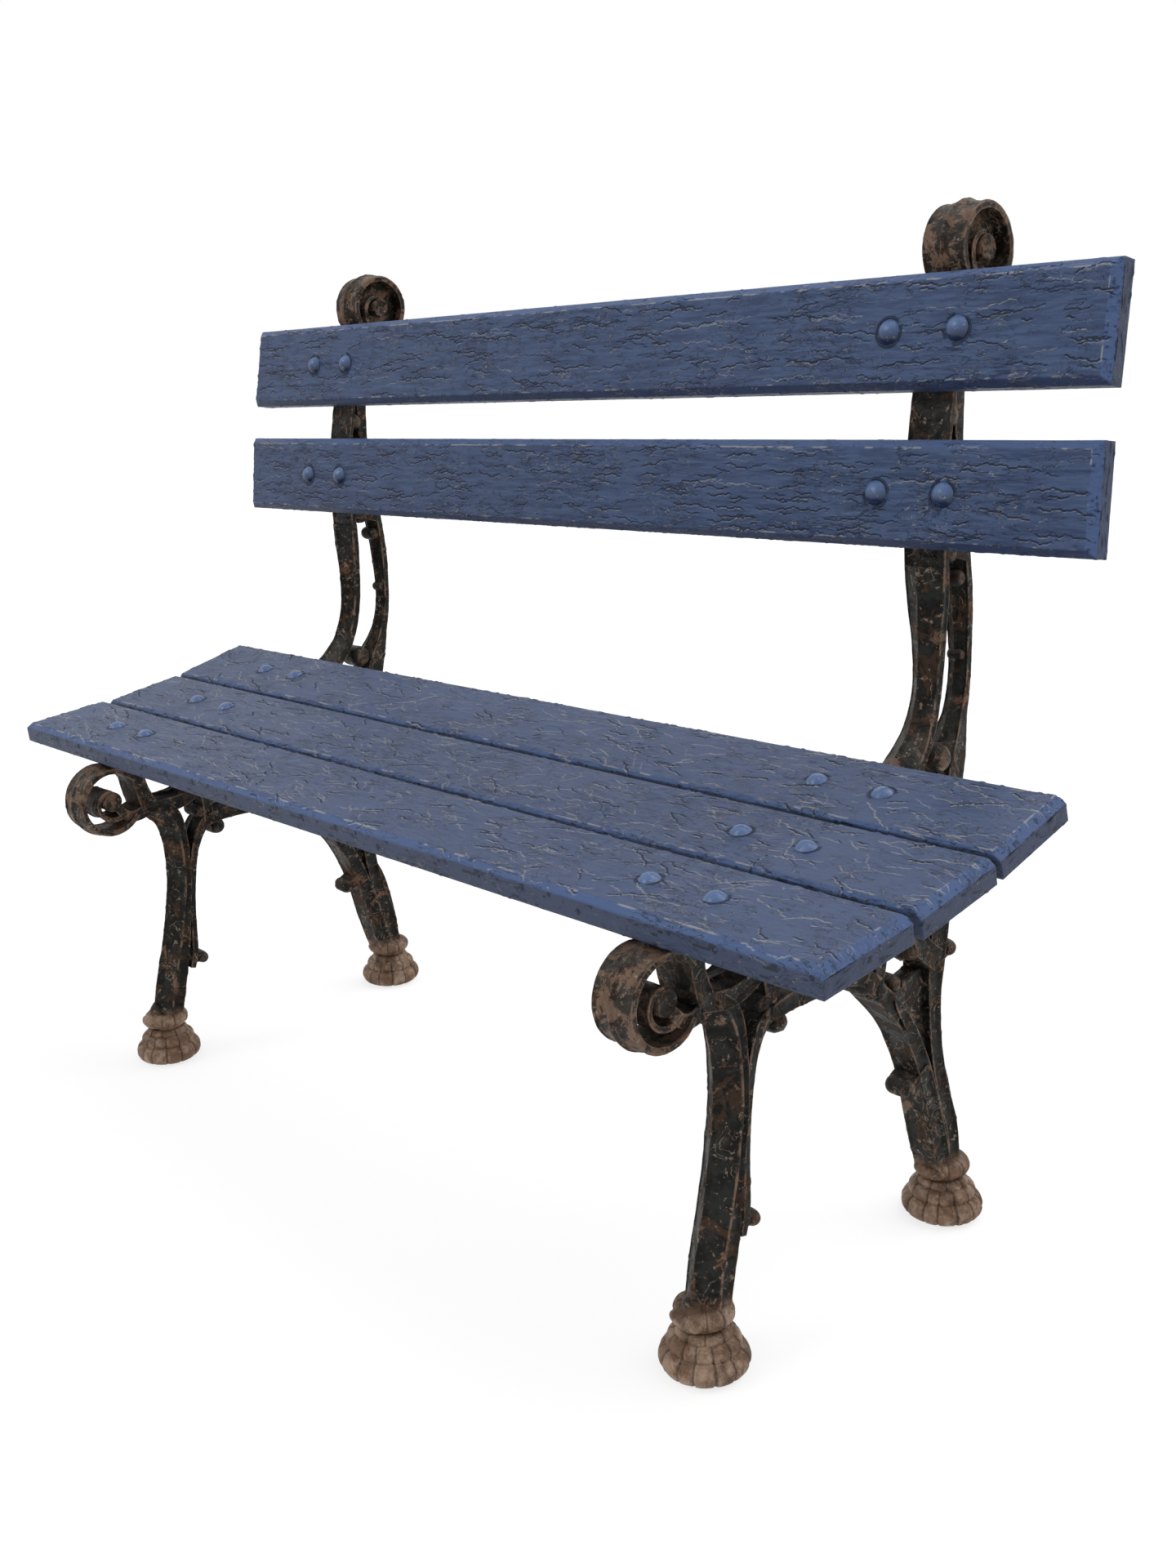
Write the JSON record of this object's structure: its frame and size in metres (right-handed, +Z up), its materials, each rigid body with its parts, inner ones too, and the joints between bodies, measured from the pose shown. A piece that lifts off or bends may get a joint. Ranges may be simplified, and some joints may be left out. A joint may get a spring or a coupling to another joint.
{
  "type": "garden bench",
  "caption": "Park style garden bench: scrolled cast iron end frames with bolted, bevelled and painted wooden seat and back planks.",
  "frame": {"origin": "on the ground, midway between the two frames and at the middle of the bench's depth", "axes": "+X along the bench, -Y the way the sitter faces, +Z up"},
  "size_m": [1.35, 0.5588, 1.0362],
  "materials": {
    "frame_iron": "weathered",
    "plank_paint": "old gloss paint",
    "bolt_paint": "gloss",
    "fixing_steel": "dull zinc"
  },
  "bodies": {
    "root": {"frame_left": "frame_iron", "frame_right": "frame_iron", "seat_plank_front": "plank_paint", "seat_plank_middle": "plank_paint", "seat_plank_rear": "plank_paint", "back_plank_lower": "plank_paint", "back_plank_upper": "plank_paint", "bolts_seat_front_left": "bolt_paint", "bolts_seat_front_right": "bolt_paint", "bolts_seat_middle_left": "bolt_paint", "bolts_seat_middle_right": "bolt_paint", "bolts_seat_rear_left": "bolt_paint", "bolts_seat_rear_right": "bolt_paint", "bolts_back_lower_left": "bolt_paint", "bolts_back_lower_right": "bolt_paint", "bolts_back_upper_left": "bolt_paint", "bolts_back_upper_right": "bolt_paint", "washers_seat_front_left": "fixing_steel", "washers_seat_front_right": "fixing_steel", "washers_seat_middle_left": "fixing_steel", "washers_seat_middle_right": "fixing_steel", "washers_seat_rear_left": "fixing_steel", "washers_seat_rear_right": "fixing_steel", "washers_back_lower_left": "fixing_steel", "washers_back_lower_right": "fixing_steel", "washers_back_upper_left": "fixing_steel", "washers_back_upper_right": "fixing_steel", "nuts_seat_front_left": "fixing_steel", "nuts_seat_front_right": "fixing_steel", "nuts_seat_middle_left": "fixing_steel", "nuts_seat_middle_right": "fixing_steel", "nuts_seat_rear_left": "fixing_steel", "nuts_seat_rear_right": "fixing_steel", "nuts_back_lower_left": "fixing_steel", "nuts_back_lower_right": "fixing_steel", "nuts_back_upper_left": "fixing_steel", "nuts_back_upper_right": "fixing_steel"}
  },
  "joints": []
}
